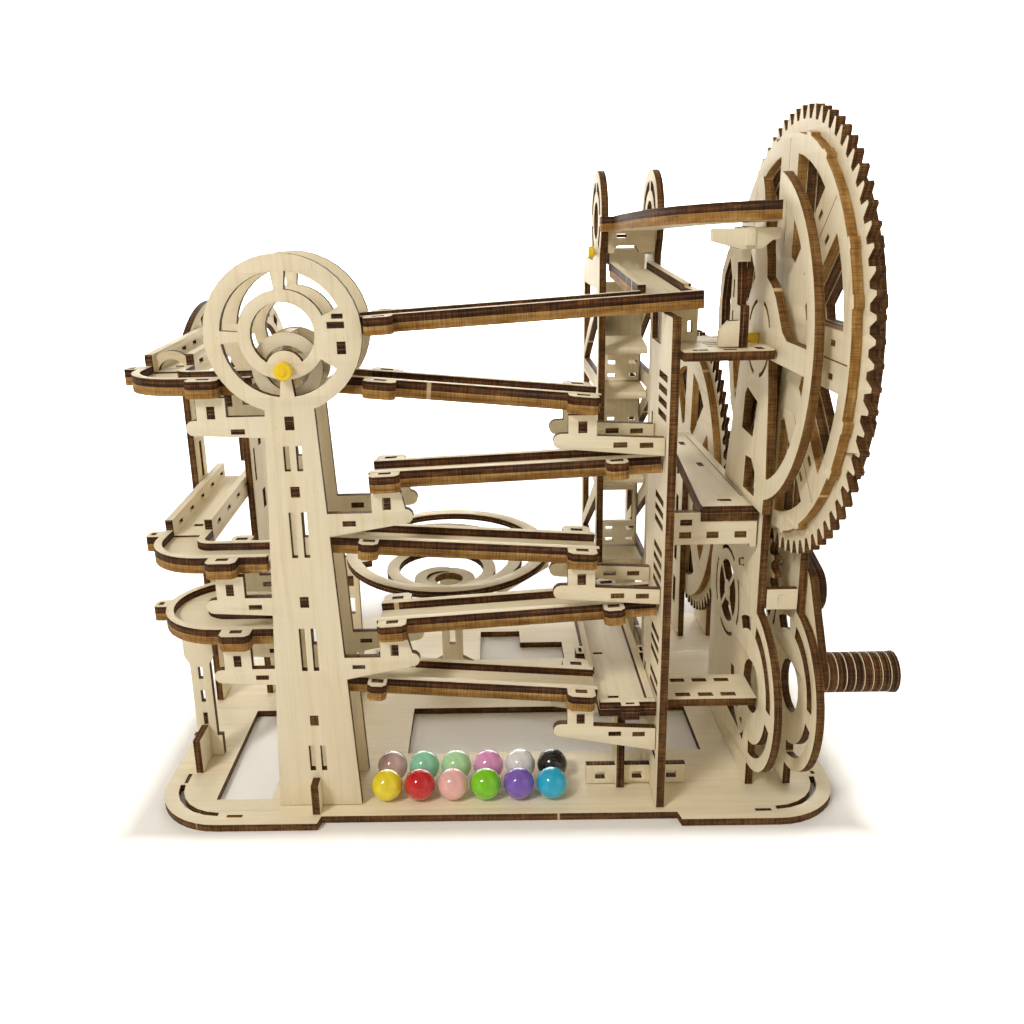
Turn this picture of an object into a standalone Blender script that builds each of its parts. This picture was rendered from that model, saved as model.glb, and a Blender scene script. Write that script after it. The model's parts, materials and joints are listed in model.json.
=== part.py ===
# Hand-cranked wooden marble run: a laser-cut plywood kit with a big toothed
# lifting wheel, a zigzag of six tracks, side trays and a spiral funnel.
# Everything is cut from 3 mm birch plywood.  Lengths below are millimetres
# and are turned into metres where the meshes are built.
# X runs to the right, Y to the back, Z up.  The base plate stands on Z = 0.

import math
import bpy
import bmesh
from mathutils import Matrix, Vector, geometry

MM = 0.001

# ---------------------------------------------------------------- dimensions
PLY = 3.0                # plywood thickness
FIT = 0.3                # clearance left between neighbouring pieces
BASE_TOP = PLY

LANE_FRONT = -85.3       # front edge of every track, just behind the front plates
LANE_REAR = -66.6        # rear edge of every track, just before the rear plates
LANE_MID = (LANE_FRONT + LANE_REAR) / 2
LANE_WIDTH = LANE_REAR - LANE_FRONT
RAIL = 2.9               # rail width
FRONT_PLANE = -88.6      # front face of the front tower plate
REAR_PLANE = -66.3       # front face of the rear tower plate

TOWER_X = -65.7          # centre line of the left tower
RING_Z = 184.4           # centre of the tower ring
RING_R = 26.6
PADDLE_Z = 172.8         # paddle axle in the tower ring

POST_X = 62.9            # left face of the tall side post
POST_TOP = 187.4

LIFT_LEFT = 51.5         # left face of the lift tower's left plate
LIFT_RIGHT = 75.0        # left face of its right plate
LIFT_FRONT = 15.0
LIFT_DEPTH = 70.0
LIFT_BACK = 43.0         # front face of the stepped back plate
LIFT_MID = (LIFT_LEFT + PLY + LIFT_RIGHT) / 2
FLAP_Y = 26.0
FLAP_Z = 204.3
EAR_Y = 31.0             # centre of the round heads of the lift plates
EAR_Z = 217.5
EAR_R = 21.0

WHEEL_Y = -72.0          # lifting wheel axle
WHEEL_Z = 177.5
WHEEL_X = 106.9          # left face of the toothed layer
WHEEL_TEETH = 72
PINION_TEETH = 16
WHEEL_TIP = 75.2
MODULE = 2 * WHEEL_TIP / (WHEEL_TEETH + 2)
MESH_DISTANCE = MODULE * (WHEEL_TEETH + PINION_TEETH) / 2
CRANK_Y = -58.0
CRANK_Z = WHEEL_Z - math.sqrt(MESH_DISTANCE ** 2 - (CRANK_Y - WHEEL_Y) ** 2)
ELBOW_Y = -74.3          # bend of the crank arm
ELBOW_Z = 84.6
GRIP_Y = -92.0
GRIP_Z = 58.6
INNER_X = 100.2          # left face of the inner wheel plate
OUTER_X = 114.9          # left face of the outer wheel plate
REAR_WHEEL_Y = 70.0
REAR_WHEEL_Z = 91.0
REAR_WHEEL_TEETH = 69
AXLE_R = 1.5

FUNNEL_X = -18.0
FUNNEL_Y = 2.0
FUNNEL_Z = 73.0
FUNNEL_R = 46.0

# ------------------------------------------------------------------ cleaning
for old in list(bpy.data.objects):
    bpy.data.objects.remove(old, do_unlink=True)

RUN = bpy.data.collections.new("marble_run")
bpy.context.scene.collection.children.link(RUN)


# ----------------------------------------------------------------- materials
def make_material(name, colour):
    material = bpy.data.materials.new(name)
    material.use_nodes = True
    shader = material.node_tree.nodes["Principled BSDF"]
    shader.inputs["Base Color"].default_value = (colour[0], colour[1], colour[2], 1.0)
    shader.inputs["Roughness"].default_value = 0.6
    return material


BIRCH = (0.78, 0.68, 0.50)
DARK_BIRCH = (0.40, 0.24, 0.11)
YELLOW = (0.95, 0.75, 0.03)


# ------------------------------------------------------------ outline helpers
def arc(cx, cy, radius, start, end, steps):
    """Points on a circle from one angle to another, in degrees."""
    points = []
    for i in range(steps + 1):
        angle = math.radians(start + (end - start) * i / steps)
        points.append((cx + radius * math.cos(angle), cy + radius * math.sin(angle)))
    return points


def polar(cx, cy, radius, degrees):
    angle = math.radians(degrees)
    return (cx + radius * math.cos(angle), cy + radius * math.sin(angle))


def circle(cx, cy, radius, steps=32):
    return arc(cx, cy, radius, 0, 360, steps)[:-1]


def box(x0, y0, x1, y1):
    return [(x0, y0), (x1, y0), (x1, y1), (x0, y1)]


def round_box(x0, y0, x1, y1, radius, steps=6):
    """A rectangle with rounded corners."""
    points = []
    points += arc(x1 - radius, y0 + radius, radius, -90, 0, steps)
    points += arc(x1 - radius, y1 - radius, radius, 0, 90, steps)
    points += arc(x0 + radius, y1 - radius, radius, 90, 180, steps)
    points += arc(x0 + radius, y0 + radius, radius, 180, 270, steps)
    return points


def sector(cx, cy, inner, outer, start, end, steps=8):
    """A curved window between two radii."""
    return arc(cx, cy, outer, start, end, steps) + arc(cx, cy, inner, end, start, steps)


def spoke_window(cx, cy, inner, outer, start, end, spoke, steps=6):
    """A window between two spokes of even width."""
    gap_out = math.degrees(math.asin(spoke / 2 / outer))
    gap_in = math.degrees(math.asin(spoke / 2 / inner))
    return (arc(cx, cy, outer, start + gap_out, end - gap_out, steps)
            + arc(cx, cy, inner, end - gap_in, start + gap_in, max(2, steps - 2)))


def offset(path, distance):
    """The path moved sideways to its left by a distance."""
    moved = []
    count = len(path)
    for i in range(count):
        before = Vector(path[max(i - 1, 0)])
        here = Vector(path[i])
        after = Vector(path[min(i + 1, count - 1)])
        first = (here - before) if i > 0 else (after - here)
        second = (after - here) if i < count - 1 else (here - before)
        n1 = Vector((-first.y, first.x)).normalized()
        n2 = Vector((-second.y, second.x)).normalized()
        normal = (n1 + n2).normalized()
        reach = distance / max(0.3, normal.dot(n1))
        point = here + normal * reach
        moved.append((point.x, point.y))
    return moved


TOOTH_ROOT = 1.18        # depth of a tooth below the pitch circle, in modules


def gear_outline(cx, cy, teeth, module, phase):
    """Tapered teeth; the first tooth is centred on the phase angle."""
    points = []
    pitch = module * teeth / 2
    tip = pitch + module
    root = pitch - module * TOOTH_ROOT
    step = 360 / teeth
    for i in range(teeth):
        middle = phase + i * step
        points.append(polar(cx, cy, root, middle - step * 0.34))
        points.append(polar(cx, cy, tip, middle - step * 0.10))
        points.append(polar(cx, cy, tip, middle + step * 0.10))
        points.append(polar(cx, cy, root, middle + step * 0.34))
    return points


# --------------------------------------------------------------- mesh helpers
def link(obj):
    RUN.objects.link(obj)
    return obj


def flat_mesh(name, outline, holes, thickness):
    """A flat plate lying on the local XY plane, from Z = 0 up."""
    curve = bpy.data.curves.new(name + "_curve", "CURVE")
    curve.dimensions = "2D"
    curve.fill_mode = "BOTH"
    curve.extrude = thickness / 2 * MM
    for loop in [outline] + list(holes):
        spline = curve.splines.new("POLY")
        spline.points.add(len(loop) - 1)
        for point, target in zip(loop, spline.points):
            target.co = (point[0] * MM, point[1] * MM, 0.0, 1.0)
        spline.use_cyclic_u = True
    holder = bpy.data.objects.new(name + "_curve", curve)
    link(holder)
    bpy.context.view_layer.update()
    mesh = bpy.data.meshes.new_from_object(holder)
    bpy.data.objects.remove(holder, do_unlink=True)
    work = bmesh.new()
    work.from_mesh(mesh)
    bmesh.ops.remove_doubles(work, verts=work.verts, dist=0.000001)
    bmesh.ops.translate(work, verts=work.verts, vec=(0.0, 0.0, thickness / 2 * MM))
    bmesh.ops.recalc_face_normals(work, faces=work.faces)
    work.to_mesh(mesh)
    work.free()
    mesh.name = name
    return mesh


# Local axes of a plate for each world plane it can stand in.
PLANES = {
    "xy": Matrix(((1, 0, 0), (0, 1, 0), (0, 0, 1))),
    "xz": Matrix(((1, 0, 0), (0, 0, -1), (0, 1, 0))),
    "yz": Matrix(((0, 0, 1), (1, 0, 0), (0, 1, 0))),
}


def plate(name, plane, level, outline, holes=(), thickness=PLY, colour=BIRCH):
    """A plywood plate; level is its lower face along the plane's normal."""
    obj = bpy.data.objects.new(name, flat_mesh(name, outline, holes, thickness))
    turn = PLANES[plane]
    obj.rotation_euler = turn.to_euler()
    if plane == "xy":
        obj.location = (0.0, 0.0, level * MM)
    elif plane == "xz":
        obj.location = (0.0, (level + thickness) * MM, 0.0)
    else:
        obj.location = (level * MM, 0.0, 0.0)
    obj.data.materials.append(make_material(name + "_ply", colour))
    return link(obj)


def rod(name, start, end, radius, colour, steps):
    """A plain round rod between two points along a world axis."""
    a = Vector(start) * MM
    b = Vector(end) * MM
    mesh = bpy.data.meshes.new(name)
    work = bmesh.new()
    bmesh.ops.create_cone(
        work, cap_ends=True, segments=steps,
        radius1=radius * MM, radius2=radius * MM, depth=(b - a).length)
    work.to_mesh(mesh)
    work.free()
    obj = bpy.data.objects.new(name, mesh)
    obj.rotation_euler = (b - a).to_track_quat("Z", "Y").to_euler()
    obj.location = (a + b) / 2
    mesh.materials.append(make_material(name + "_finish", colour))
    return link(obj)


def fuse(target, pieces, operation="UNION"):
    """Join pieces into the target so that it stays one closed body."""
    bpy.context.view_layer.update()
    for piece in pieces:
        step = target.modifiers.new("join", "BOOLEAN")
        step.operation = operation
        step.solver = "EXACT"
        step.object = piece
    bpy.context.view_layer.update()
    graph = bpy.context.evaluated_depsgraph_get()
    mesh = bpy.data.meshes.new_from_object(target.evaluated_get(graph))
    finish = target.data.materials[0]
    target.modifiers.clear()
    clean(mesh)
    mesh.materials.clear()
    mesh.materials.append(finish)
    mesh.name = target.name
    target.data = mesh
    for piece in pieces:
        bpy.data.objects.remove(piece, do_unlink=True)
    return target


def cut(target, cutter):
    return fuse(target, [cutter], "DIFFERENCE")


def clean(mesh):
    work = bmesh.new()
    work.from_mesh(mesh)
    bmesh.ops.remove_doubles(work, verts=work.verts, dist=0.00001)
    bmesh.ops.triangulate(work, faces=work.faces)
    work.to_mesh(mesh)
    work.free()


def set_origin(obj, x, y, z):
    """Move the object's origin to a joint axis without moving its shape."""
    bpy.context.view_layer.update()
    world = obj.matrix_world.copy()
    place = Matrix.Translation(Vector((x, y, z)) * MM)
    obj.data.transform(place.inverted() @ world)
    obj.rotation_euler = (0.0, 0.0, 0.0)
    obj.location = Vector((x, y, z)) * MM
    return obj


# ------------------------------------------------------------------ the base
def base_outline():
    left = -131.0
    right = 134.5
    front = -100.0
    recess = -95.5
    points = []
    points += arc(left + 27, front + 27, 27, 180, 270, 10)
    points += [(-65.5, front), (-64.5, recess), (70.5, recess), (71.5, front)]
    points += arc(right - 27, front + 27, 27, 270, 360, 10)
    points += arc(right - 12, 30, 12, 0, 90, 5)
    points += arc(106, 72, 16, 0, 90, 6)
    points += arc(-60, 72, 16, 90, 180, 6)
    points += [(-76, 38)]
    points += arc(left + 14, 24, 14, 90, 180, 6)
    return points


def curved_slot(cx, cy, radius, start, end):
    return sector(cx, cy, radius - 1.0, radius + 1.0, start, end, 6)


def build_base():
    holes = [
        box(-108, -84, -86, -15.5),
        box(-35, -53, 88.5, -15.5),
        [(-5, 33), (38, 33), (38, 52), (16, 52), (16, 66), (-5, 66)],
        curved_slot(-104, -73, 20.5, 182, 268),
        curved_slot(107.5, -73, 20.5, 272, 358),
        box(-101, -95.5, -95, -94.0),
        box(-124.5, -72.5, -123.0, -66.0),
        box(100, -95.5, 106, -94.0),
        box(128.5, -72, 130, -70),
    ]
    plate("base_plate", "xy", 0, base_outline(), holes)


# -------------------------------------------------------------- the channels
TAB_REACH = 6.4          # how far a tab stands out beside a channel
TRAY_HALF = LANE_WIDTH / 2
RAIL_IN = TRAY_HALF - RAIL
SKIN = 0.04              # tabs are this much thinner than the channel they join


def channel(name, path):
    """A floor with a rail on either side, swept along a path."""
    section = ((-TRAY_HALF, 0), (TRAY_HALF, 0), (TRAY_HALF, 2 * PLY), (RAIL_IN, 2 * PLY),
               (RAIL_IN, PLY), (-RAIL_IN, PLY), (-RAIL_IN, 2 * PLY), (-TRAY_HALF, 2 * PLY))
    lines = [offset(path, -across) for across, height in section]
    mesh = bpy.data.meshes.new(name)
    work = bmesh.new()
    rings = []
    for i in range(len(path)):
        ring = []
        for line, (across, height) in zip(lines, section):
            ring.append(work.verts.new((line[i][0] * MM, line[i][1] * MM, height * MM)))
        rings.append(ring)
    for a, b in zip(rings, rings[1:]):
        for k in range(len(section)):
            after = (k + 1) % len(section)
            work.faces.new((a[k], a[after], b[after], b[k]))
    work.faces.new(rings[0][::-1])
    work.faces.new(rings[-1])
    bmesh.ops.recalc_face_normals(work, faces=work.faces)
    work.to_mesh(mesh)
    work.free()
    obj = bpy.data.objects.new(name, mesh)
    mesh.materials.append(make_material(name + "_ply", BIRCH))
    return link(obj)


def tab(outline, hole):
    """A slotted tab as thick as a whole channel."""
    return plate("tab", "xy", SKIN, outline, [hole], 2 * PLY - 2 * SKIN)


def side_tabs(x0, x1, edge, outward):
    """Tab on one long edge; outward is +1 towards the back, -1 to the front."""
    root = edge - 1.2 * outward
    tip = edge + TAB_REACH * outward
    bend = tip - 1.6 * outward
    outline = [(x0, root), (x1, root), (x1, bend), (x1 - 1.6, tip), (x0 + 1.6, tip), (x0, bend)]
    middle = (x0 + x1) / 2
    near = edge + 0.6 * outward
    far = edge + 3.3 * outward
    return tab(outline, box(middle - 2.2, min(near, far), middle + 2.2, max(near, far)))


def track(name, x0, x1, z0, rise, tabs, rear_stop=None, end_stop=False):
    """A straight tilted channel with slotted tabs on both sides."""
    length = x1 - x0
    body = channel(name, [(0, 0), (length, 0)])
    pieces = []
    for a, b in tabs:
        pieces.append(side_tabs(a - x0, b - x0, -TRAY_HALF, -1))
        pieces.append(side_tabs(a - x0, b - x0, TRAY_HALF, 1))
    if rear_stop is not None:
        opening = box(rear_stop - x0, RAIL_IN - SKIN, length + 1, TRAY_HALF + 1)
        cut(body, plate("opening", "xy", PLY - SKIN, opening, (), PLY + 1))
    if end_stop:
        stop = box(length - RAIL, -RAIL_IN - 1, length - SKIN, TRAY_HALF - SKIN)
        pieces.append(plate("stop", "xy", PLY - 0.4, stop, (), PLY + 0.4 - SKIN))
    fuse(body, pieces)
    body.location = (x0 * MM, LANE_MID * MM, z0 * MM)
    body.rotation_euler = (0.0, -math.atan(rise), 0.0)
    return body


TAB_LEFT = (-39.4, -28.8)
TAB_RIGHT = (29.4, 39.8)
TRACKS = {
    "track_1": (-52.0, 74.9, 182.9, 0.051, [(-38.2, -28.4)], 56.5, True),
    "track_2": (-50.0, 41.0, 164.0, -0.0975, [(-40.0, -29.0), TAB_RIGHT], None, False),
    "track_3": (-40.0, 62.3, 129.4, 0.037, [TAB_LEFT, (43.0, 50.5)], None, False),
    "track_4": (-57.0, 41.0, 106.0, -0.067, [(-45.0, -38.0), TAB_RIGHT], None, False),
    "track_5": (-40.0, 62.3, 73.0, 0.060, [TAB_LEFT, (43.0, 50.5)], None, False),
    "track_6": (-54.0, 41.0, 50.5, -0.075, [(-45.0, -38.0), TAB_RIGHT], None, False),
}


def track_bottom(name, x):
    x0, _, z0, rise = TRACKS[name][:4]
    return z0 + (x - x0) * rise


def rest_under(name, x0, x1):
    """Height of a support that ends just under a track."""
    return min(track_bottom(name, x0), track_bottom(name, x1)) - FIT


def build_tracks():
    for name, (x0, x1, z0, rise, tabs, rear_stop, end_stop) in TRACKS.items():
        track(name, x0, x1, z0, rise, tabs, rear_stop, end_stop)


# ------------------------------------------------------------ the left tower
TRAY_TOP = 164.0
TRAY_MIDDLE = 98.8
TRAY_BOTTOM = 70.5


def stem_right(z):
    return -49.8 - (z - 3.0) * 7.1 / 157.0


def stem_left(z):
    return -81.7 + (z - 3.0) * 7.8 / 157.0


def right_arm(root, tip_z, top, upright):
    """Bracket arm that reaches right and carries an upright for a track."""
    tip_x = -27.5
    points = [(stem_right(root), root)]
    points += arc(tip_x, tip_z, 2.7, -90, 90, 6)
    points += [(-28.9, upright), (-39.3, upright), (-39.3, top), (stem_right(top), top)]
    return points


def left_arm(root, tip_z, top, upright):
    tip_x = -98.9
    points = [(stem_left(top), top), (-87.2, top), (-87.2, upright), (-97.4, upright)]
    points += [(-97.4, tip_z + 2.7)]
    points += arc(tip_x, tip_z, 2.7, 90, 270, 6)
    points += [(stem_left(root), root)]
    return points


def tower_outline():
    neck_right = math.degrees(math.atan2(-25.1, 8.8))
    neck_left = math.degrees(math.atan2(-25.3, -8.1)) + 360
    points = [(stem_right(3.3), BASE_TOP + FIT)]
    points += right_arm(56.9, 64.6, 65.8, rest_under("track_5", -40, -28.8))
    points += right_arm(113.0, 120.2, 121.6, rest_under("track_3", -40, -28.8))
    points += arc(TOWER_X, RING_Z, RING_R, neck_right, neck_left, 34)
    points += left_arm(149.4, 153.3, 157.0, TRAY_TOP - FIT)
    points += left_arm(83.2, 87.0, 90.2, TRAY_MIDDLE - FIT)
    points += left_arm(55.2, 58.9, 61.8, TRAY_BOTTOM - FIT)
    points += [(stem_left(3.3), BASE_TOP + FIT)]
    return points


def tower_holes():
    cx, cz = TOWER_X, RING_Z
    holes = []
    holes.append(sector(cx, cz, 15.0, 21.0, 97, 175, 9))
    holes.append(sector(cx, cz, 15.0, 21.0, 24, 84, 7))
    holes.append(sector(cx, cz, 15.0, 21.0, 187, 263, 9))
    holes.append(sector(cx, cz, 15.0, 21.0, 277, 326, 6))
    eye = arc(cx, cz, 10.8, -56, 236, 22)
    eye += arc(cx, PADDLE_Z, 6.5, 156, 24, 8)
    holes.append(eye)
    holes.append(circle(cx, PADDLE_Z, AXLE_R + FIT, 14))
    holes.append(box(-50.6, 186.2, -44.8, 188.4))
    holes.append(box(-48.9, 189.4, -45.1, 191.0))
    holes.append(box(-47.7, 177.6, -44.7, 181.8))
    for z0, z1 in ((152, 156.8), (127.9, 131.8), (86.1, 90.3), (37.9, 42.1)):
        holes.append(box(-67.3, z0, -64.1, z1))
    for z0, z1 in ((137.4, 146.3), (105.4, 122.4), (60.7, 77.8), (18.6, 29.3)):
        holes.append(box(-68.7, z0, -66.6, z1))
        holes.append(box(-64.3, z0, -62.3, z1))
    for upright in (rest_under("track_5", -40, -28.8), rest_under("track_3", -40, -28.8)):
        holes.append(box(-35.4, upright - 6.4, -32.5, upright - 2.0))
    holes.append(box(-49.9, 61.2, -45.2, 62.8))
    holes.append(box(-49.9, 116.8, -45.2, 118.8))
    for rest in (TRAY_TOP, TRAY_MIDDLE, TRAY_BOTTOM):
        holes.append(box(-93.8, rest - 7.6, -91.0, rest - 3.2))
        holes.append(box(-86.1, rest - 13.1, -81.3, rest - 11.3))
    return holes


def build_tower():
    outline = tower_outline()
    holes = tower_holes()
    plate("tower_front_plate", "xz", FRONT_PLANE, outline, holes)
    plate("tower_rear_plate", "xz", REAR_PLANE, outline, holes)


# ----------------------------------------------------- trays, ramps and legs
def corner_tab(x0, x1, y0, y1):
    """Tab on the outer side of a tray's bend."""
    return tab(round_box(x0, y0, x1, y1, 1.5, 2), box(x0 + 1.4, y0 + 2.2, x0 + 3.4, y1 - 2.2))


def build_trays():
    turn = arc(-104, LANE_MID + 13, 13, 270, 180, 10)
    path = [(-78.8, LANE_MID)] + turn + [(-117, -52.8)]
    for name, level in (("tray_top", TRAY_TOP), ("tray_middle", TRAY_MIDDLE)):
        body = channel(name, path)
        fuse(body, [side_tabs(-100, -89, LANE_FRONT, -1), side_tabs(-97.0, -89, LANE_REAR, 1),
                    corner_tab(-132, -125, -60.5, -53.5)])
        body.location = (0.0, 0.0, level * MM)
    bend = arc(-100.3, LANE_MID + 16.5, 16.5, 270, 90, 18)
    path = [(-78.8, LANE_MID)] + bend + [(-64.0, LANE_MID + 33)]
    body = channel("tray_bottom", path)
    fuse(body, [side_tabs(-98, -86.6, LANE_FRONT, -1), corner_tab(-131.5, -124, -63, -56)])
    body.location = (0.0, 0.0, TRAY_BOTTOM * MM)


def ramp(name, level, y0, y1, tilt):
    """A straight channel with tall slotted side walls, running front to back."""
    length = y1 - y0
    x0 = -117 - TRAY_HALF
    x1 = -117 + TRAY_HALF
    body = plate(name, "xy", 0, box(x0, 0, x1, length), [box(-119, 10, -115, 12.5)])
    slots = []
    count = 5
    for i in range(count):
        middle = length * (i + 0.6) / count
        lift = 0.05 * i
        slots.append(box(middle - 2.4, 4.6 + lift, middle + 2.4, 6.4 + lift))
    wall = box(SKIN, 0.4, length - SKIN, 9.5)
    pieces = [
        plate("wall", "yz", x0 + SKIN, wall, slots),
        plate("wall", "yz", x1 - PLY - SKIN, wall, slots),
    ]
    fuse(body, pieces)
    body.location = (0.0, y0 * MM, level * MM)
    body.rotation_euler = (math.radians(tilt), 0.0, 0.0)
    return body


def leg_outline(top):
    """A slim leg: wide head, waist, and a foot with square shoulders."""
    return [(-125.6, BASE_TOP + FIT), (-113.4, BASE_TOP + FIT), (-113.4, 12.8), (-115.4, 12.8),
            (-115.4, top - 24.0), (-113.4, top - 20.5), (-113.4, top), (-125.6, top),
            (-125.6, top - 20.5), (-123.6, top - 24.0), (-123.6, 12.8), (-125.6, 12.8)]


def build_side_stand():
    ramp("ramp_middle", TRAY_MIDDLE + 0.6, -52.3, 24.0, 2.6)
    ramp("ramp_top", TRAY_TOP + 0.6, -52.3, 20.0, 2.0)
    windows = [box(-120.4, z, -118.6, z + 5.4) for z in (18.2, 28.7, 39.3)]
    plate("side_leg", "xz", -52.5, leg_outline(TRAY_BOTTOM - FIT), windows)
    left = [(-5, BASE_TOP + FIT), (9, BASE_TOP + FIT)] + arch_line(58, 124.7, 55.3, 12)
    left += [(75, 100), (89, 100)] + arch_line(69, 47, 133, 20)
    slots = [box(1, z, 4, z + 16) for z in (20, 60, 112, 138)]
    slots += [box(80, z, 83, z + 16) for z in (108, 134)]
    plate("arch_left", "yz", -129.8, left, slots + arch_windows())
    right = [(1, BASE_TOP + FIT), (35, BASE_TOP + FIT), (35, 146)] + arch_line(58, 120, 55.3, 12)
    right += [(75, 100), (89, 100)] + arch_line(69, 47, 126.5, 18)
    slots = [box(6, z, 8.4, z + 15) for z in (20, 60, 108, 130)]
    slots += [box(16, z, 21, z + 9) for z in (40, 92, 122)]
    slots += [box(80, z, 83, z + 16) for z in (108, 134)]
    plate("arch_right", "yz", -107.3, right, slots + arch_windows())
    tie = box(-126.5, 104, -107.6, 118)
    plate("arch_tie", "xz", 80.0, tie, [box(-120, 109, -114, 113)])


def arch_line(radius, start, end, steps):
    """Part of the tall rounded arch at the left rear."""
    return arc(42, 117.3, radius, start, end, steps)


def arch_windows():
    windows = []
    for middle in (118, 104, 90, 76, 62):
        windows.append(arch_line(65.5, middle - 3, middle + 3, 2)
                       + arch_line(61.5, middle + 3, middle - 3, 2))
    return windows


# ----------------------------------------------------- side post and brackets
BRACKET_LEFT = 29.5      # upright that carries a track's right-hand tab
BRACKET_RIGHT = 39.3
CROSS_FRONT = -77.0      # front face of the cross plate at the foot of the post
CROSS_TOP = 11.5


def build_post():
    notch_front = CROSS_FRONT - FIT
    notch_rear = CROSS_FRONT + PLY + FIT
    foot = BASE_TOP + FIT
    shoulder = SHELF_TOP + 2.6
    outline = [(-93, foot), (notch_front, foot), (notch_front, CROSS_TOP + FIT),
               (notch_rear, CROSS_TOP + FIT), (notch_rear, foot), (-55, foot), (-55, shoulder)]
    outline += [(-72.5, shoulder)]
    outline += arc(-73.5, POST_TOP - 1, 1, 0, 90, 3)
    outline += arc(-92, POST_TOP - 1, 1, 90, 180, 3)
    slots = []
    for top, count in ((165.0, 4), (121.0, 3), (102.0, 4), (69.0, 3), (51.0, 2), (25.0, 2)):
        for i in range(count):
            z = top - 4.5 * i
            slots.append(box(-87.5, z, -72.0, z + 2.4))
    slots.append(box(-61.5, 130, -59, 150))
    slots.append(box(-61.5, 30, -59, 48))
    plate("side_post", "yz", POST_X, outline, slots)


def bracket_outline(top, low):
    """Arm from the side post with an upright under a track and a round tip."""
    tip = top - 9.0
    points = [(POST_X - FIT, low), (POST_X - FIT, top - 8.6), (BRACKET_RIGHT, top - 7.3),
              (BRACKET_RIGHT, top), (BRACKET_LEFT, top), (BRACKET_LEFT, tip + 2.7)]
    points += arc(27, tip, 2.7, 90, 270, 6)
    return points


def build_brackets():
    for number, (name, drop) in enumerate((("track_2", 15.0), ("track_4", 14.3), ("track_6", 18.0))):
        top = rest_under(name, BRACKET_LEFT, BRACKET_RIGHT)
        outline = bracket_outline(top, top - drop)
        holes = [
            box(33.0, top - 6.2, 36.0, top - 2.2),
            box(45.0, top - 11.6, 49.7, top - 9.8),
            box(54.0, top - 11.9, 58.6, top - 10.1),
        ]
        plate("bracket_front_%d" % (number + 1), "xz", FRONT_PLANE, outline, holes)
        plate("bracket_rear_%d" % (number + 1), "xz", REAR_PLANE, outline, holes)


RETURN_LEVEL = 39.3      # underside of the channel that leads back to the lift
RETURN_REAR = LIFT_FRONT - 2 * FIT


def build_return():
    """Channel from the end of the lowest track back to the lift."""
    right = POST_X - FIT
    floor = [(41.6, -87.6), (right, -87.6), (right, RETURN_REAR), (39.8, RETURN_REAR), (39.8, -59.6),
             (41.6, -59.6)]
    slots = [box(46, -79, 50, -77.4), box(44.2, -41.8, 48.2, -40.2)]
    body = plate("return_channel", "xy", RETURN_LEVEL, floor, slots)
    base = RETURN_LEVEL + PLY - 0.4
    rise = PLY + 0.4
    rails = [
        box(39.8 + SKIN, -59.4, 39.8 + RAIL, RETURN_REAR - SKIN),
        box(right - RAIL, -84.6, right - SKIN, RETURN_REAR - SKIN),
        box(41.8, -87.6 + SKIN, right - SKIN, -84.7),
    ]
    pieces = [plate("rail", "xy", base, rail, (), rise) for rail in rails[:2]]
    pieces.append(plate("front_rail", "xy", base, rails[2], (), rise - SKIN))
    for x0, x1, y0, y1 in ((36.6, 40.4, -47, -40), (right - 0.6, right + 3.2, -47, -40)):
        middle = (x0 + x1) / 2
        ear = plate("ear", "xy", RETURN_LEVEL + SKIN, box(x0, y0, x1, y1),
                    [box(middle - 0.6, y0 + 1.6, middle + 0.6, y1 - 1.6)], 2 * PLY - 2 * SKIN)
        pieces.append(ear)
    nose = plate("nose", "xy", RETURN_LEVEL + SKIN, box(49.4, -90.4, 56.2, -87.2),
                 [box(51.2, -89.2, 54.4, -88.0)], 2 * PLY - 2 * SKIN)
    leg = plate("leg", "yz", 46.0, box(-9, BASE_TOP + FIT, -3, RETURN_LEVEL + 0.5))
    fuse(body, pieces + [nose, leg])


def build_low_shelves():
    front, rear = -87.5, -68.5
    shelf = box(POST_X + PLY + FIT + 0.3, front, INNER_X - FIT, rear)
    slots = []
    for x in (70.5, 79.0, 87.5):
        slots.append(box(x, -85.2, x + 5.5, -82.6))
        slots.append(box(x, -74.0, x + 5.5, -71.4))
    plate("shelf_lower", "xy", 43.0, shelf, slots)
    cross = box(38, BASE_TOP + FIT, 77, CROSS_TOP)
    windows = [box(41.5, 5.5, 45.5, 8.4), box(56, 5.6, 60, 8.5), box(69.5, 5.7, 73.5, 8.6)]
    body = plate("base_cross", "xz", CROSS_FRONT, cross, windows)
    fin = box(-80, BASE_TOP + FIT + SKIN, -67, RETURN_LEVEL - FIT)
    fuse(body, [plate("base_fin", "yz", 49.5, fin, [box(-74.8, 22, -72.2, 32)])])


# ----------------------------------------------------------- wheel and chutes
CRESCENT_R = 56.5        # outer radius of the crescent beside the wheel
CRESCENT_IN = 50.0
BAND_LOW = 172.0         # the level bar that ties the crescent to its neck
BAND_HIGH = 180.3


def wheel_plate_outline():
    """Tall plate beside the wheel: round foot, boss, waist and round head."""
    points = [(-78.6, BASE_TOP + FIT), (-12, BASE_TOP + FIT)]
    points += arc(-37.4, 68.6, 29, -28, 60, 9)
    points += [(-24.6, 100), (-30, 125), (-45, 150)]
    points += arc(WHEEL_Y, WHEEL_Z, 11, -20, 205, 14)
    points += [(-79.5, 162)]
    points += arc(-76, 45, 32, 96.3, 265.3, 22)
    return points


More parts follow.
